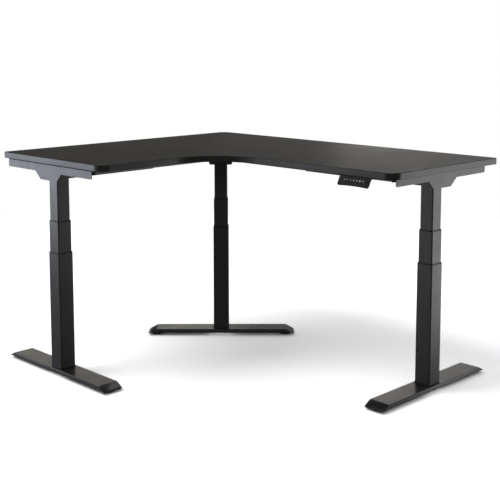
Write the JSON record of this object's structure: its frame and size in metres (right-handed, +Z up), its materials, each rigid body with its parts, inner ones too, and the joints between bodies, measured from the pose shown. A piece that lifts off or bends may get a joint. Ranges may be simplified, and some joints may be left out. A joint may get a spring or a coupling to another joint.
{
  "type": "height adjustable standing desk",
  "caption": "L-shaped corner standing desk: a swept one-piece top on telescopic square columns with flat feet, moved up and down by motors and a handset under the front edge.",
  "frame": {"origin": "middle of the top's footprint, on the floor, with the glides' soles at Z = 0", "axes": "+Z up; +X along the long wing, from the corner to its free end; -Y along the short wing, from the corner to its free end, and towards the user of the long wing"},
  "size_m": [1.6, 1.285, 0.898],
  "materials": {
    "laminate": "matte black laminate with a fine grain on particle board",
    "powder_coat": "satin black fine-texture powder coat on steel",
    "plastic": "matte black moulded plastic",
    "panel": "smooth dark grey key panel",
    "rubber": "black rubber",
    "zinc": "zinc-plated steel",
    "gearbox_case": "die-cast, blasted",
    "motor_case": "dark grey painted motor can",
    "legend": "pale grey print"
  },
  "bodies": {
    "corner_base": {"corner_foot": "powder_coat", "corner_foot_plate": "zinc", "corner_outer_tube": "powder_coat", "corner_outer_collar": "plastic"},
    "corner_stage": {"corner_middle_tube": "powder_coat", "corner_middle_collar": "plastic", "corner_nut_tube": "plastic"},
    "corner_spindle": {"corner_spindle": "zinc"},
    "corner_glide_a": {"corner_glide_a": "rubber"},
    "corner_glide_b": {"corner_glide_b": "rubber"},
    "left_base": {"left_foot": "powder_coat", "left_foot_plate": "zinc", "left_outer_tube": "powder_coat", "left_outer_collar": "plastic"},
    "left_stage": {"left_middle_tube": "powder_coat", "left_middle_collar": "plastic", "left_nut_tube": "plastic"},
    "left_spindle": {"left_spindle": "zinc"},
    "left_glide_a": {"left_glide_a": "rubber"},
    "left_glide_b": {"left_glide_b": "rubber"},
    "right_base": {"right_foot": "powder_coat", "right_foot_plate": "zinc", "right_outer_tube": "powder_coat", "right_outer_collar": "plastic"},
    "right_stage": {"right_middle_tube": "powder_coat", "right_middle_collar": "plastic", "right_nut_tube": "plastic"},
    "right_spindle": {"right_spindle": "zinc"},
    "right_glide_a": {"right_glide_a": "rubber"},
    "right_glide_b": {"right_glide_b": "rubber"},
    "button_up": {"button_up": "panel"},
    "button_down": {"button_down": "panel"},
    "button_preset_1": {"button_preset_1": "panel"},
    "button_preset_2": {"button_preset_2": "panel"},
    "button_preset_3": {"button_preset_3": "panel"},
    "button_memory": {"button_memory": "panel"},
    "button_reminder": {"button_reminder": "panel"},
    "lift": {"desktop": "laminate", "left_inner_tube": "powder_coat", "left_gearbox": "gearbox_case", "left_motor": "motor_case", "left_side_bracket": "powder_coat", "left_rubber_pad": "rubber", "left_outer_rail": "powder_coat", "left_inner_rail": "powder_coat", "right_inner_tube": "powder_coat", "right_gearbox": "gearbox_case", "right_motor": "motor_case", "right_side_bracket": "powder_coat", "right_rubber_pad": "rubber", "right_outer_rail": "powder_coat", "right_inner_rail": "powder_coat", "corner_inner_tube": "powder_coat", "corner_gearbox": "gearbox_case", "corner_motor": "motor_case", "corner_bracket": "powder_coat", "handset_housing": "plastic", "handset_panel": "panel", "control_box_case": "plastic", "control_box_cover": "powder_coat"}
  },
  "joints": [
    {"name": "corner_lower_lift", "type": "slide", "parent": "corner_base", "child": "corner_stage", "axis": [0, 0, 1], "range_m": [-0.125, 0.18]},
    {"name": "corner_upper_lift", "type": "slide", "parent": "corner_stage", "child": "lift", "axis": [0, 0, 1], "range_m": [-0.125, 0.18]},
    {"name": "left_upper_lift", "type": "slide", "parent": "lift", "child": "left_stage", "axis": [0, 0, -1], "range_m": [-0.125, 0.18]},
    {"name": "left_lower_lift", "type": "slide", "parent": "left_stage", "child": "left_base", "axis": [0, 0, -1], "range_m": [-0.125, 0.18]},
    {"name": "right_upper_lift", "type": "slide", "parent": "lift", "child": "right_stage", "axis": [0, 0, -1], "range_m": [-0.125, 0.18]},
    {"name": "right_lower_lift", "type": "slide", "parent": "right_stage", "child": "right_base", "axis": [0, 0, -1], "range_m": [-0.125, 0.18]},
    {"name": "left_spindle_turn", "type": "hinge", "parent": "lift", "child": "left_spindle", "pos_m": [-0.458, -0.5965, 0.6], "axis": [0, 0, 1], "range_deg": [-2253, 3243]},
    {"name": "right_spindle_turn", "type": "hinge", "parent": "lift", "child": "right_spindle", "pos_m": [0.721, 0.3005, 0.6], "axis": [0, 0, 1], "range_deg": [-2253, 3243]},
    {"name": "corner_spindle_turn", "type": "hinge", "parent": "lift", "child": "corner_spindle", "pos_m": [-0.41286, 0.25536, 0.6], "axis": [0, 0, 1], "range_deg": [-2253, 3243]},
    {"name": "left_glide_a_level", "type": "slide", "parent": "left_base", "child": "left_glide_a", "axis": [0, 0, -1], "range_m": [0, 0.01]},
    {"name": "left_glide_b_level", "type": "slide", "parent": "left_base", "child": "left_glide_b", "axis": [0, 0, -1], "range_m": [0, 0.01]},
    {"name": "right_glide_a_level", "type": "slide", "parent": "right_base", "child": "right_glide_a", "axis": [0, 0, -1], "range_m": [0, 0.01]},
    {"name": "right_glide_b_level", "type": "slide", "parent": "right_base", "child": "right_glide_b", "axis": [0, 0, -1], "range_m": [0, 0.01]},
    {"name": "corner_glide_a_level", "type": "slide", "parent": "corner_base", "child": "corner_glide_a", "axis": [0, 0, -1], "range_m": [0, 0.01]},
    {"name": "corner_glide_b_level", "type": "slide", "parent": "corner_base", "child": "corner_glide_b", "axis": [0, 0, -1], "range_m": [0, 0.01]},
    {"name": "button_up_press", "type": "slide", "parent": "lift", "child": "button_up", "axis": [0, 0.8844, -0.4668], "range_m": [0, 0.0008], "stiffness_N_per_m": 800, "springref_m": -0.001},
    {"name": "button_down_press", "type": "slide", "parent": "lift", "child": "button_down", "axis": [0, 0.8844, -0.4668], "range_m": [0, 0.0008], "stiffness_N_per_m": 800, "springref_m": -0.001},
    {"name": "button_preset_1_press", "type": "slide", "parent": "lift", "child": "button_preset_1", "axis": [0, 0.8844, -0.4668], "range_m": [0, 0.0008], "stiffness_N_per_m": 800, "springref_m": -0.001},
    {"name": "button_preset_2_press", "type": "slide", "parent": "lift", "child": "button_preset_2", "axis": [0, 0.8844, -0.4668], "range_m": [0, 0.0008], "stiffness_N_per_m": 800, "springref_m": -0.001},
    {"name": "button_preset_3_press", "type": "slide", "parent": "lift", "child": "button_preset_3", "axis": [0, 0.8844, -0.4668], "range_m": [0, 0.0008], "stiffness_N_per_m": 800, "springref_m": -0.001},
    {"name": "button_memory_press", "type": "slide", "parent": "lift", "child": "button_memory", "axis": [0, 0.8844, -0.4668], "range_m": [0, 0.0008], "stiffness_N_per_m": 800, "springref_m": -0.001},
    {"name": "button_reminder_press", "type": "slide", "parent": "lift", "child": "button_reminder", "axis": [0, 0.8844, -0.4668], "range_m": [0, 0.0008], "stiffness_N_per_m": 800, "springref_m": -0.001}
  ],
  "couplings": [
    {"joint": "corner_upper_lift", "follows": "corner_lower_lift", "ratio": 1},
    {"joint": "left_upper_lift", "follows": "corner_lower_lift", "ratio": 1},
    {"joint": "left_lower_lift", "follows": "corner_lower_lift", "ratio": 1},
    {"joint": "right_upper_lift", "follows": "corner_lower_lift", "ratio": 1},
    {"joint": "right_lower_lift", "follows": "corner_lower_lift", "ratio": 1},
    {"joint": "left_spindle_turn", "follows": "corner_lower_lift", "rad_per_m": 314.16},
    {"joint": "right_spindle_turn", "follows": "corner_lower_lift", "rad_per_m": 314.16},
    {"joint": "corner_spindle_turn", "follows": "corner_lower_lift", "rad_per_m": 314.16}
  ]
}
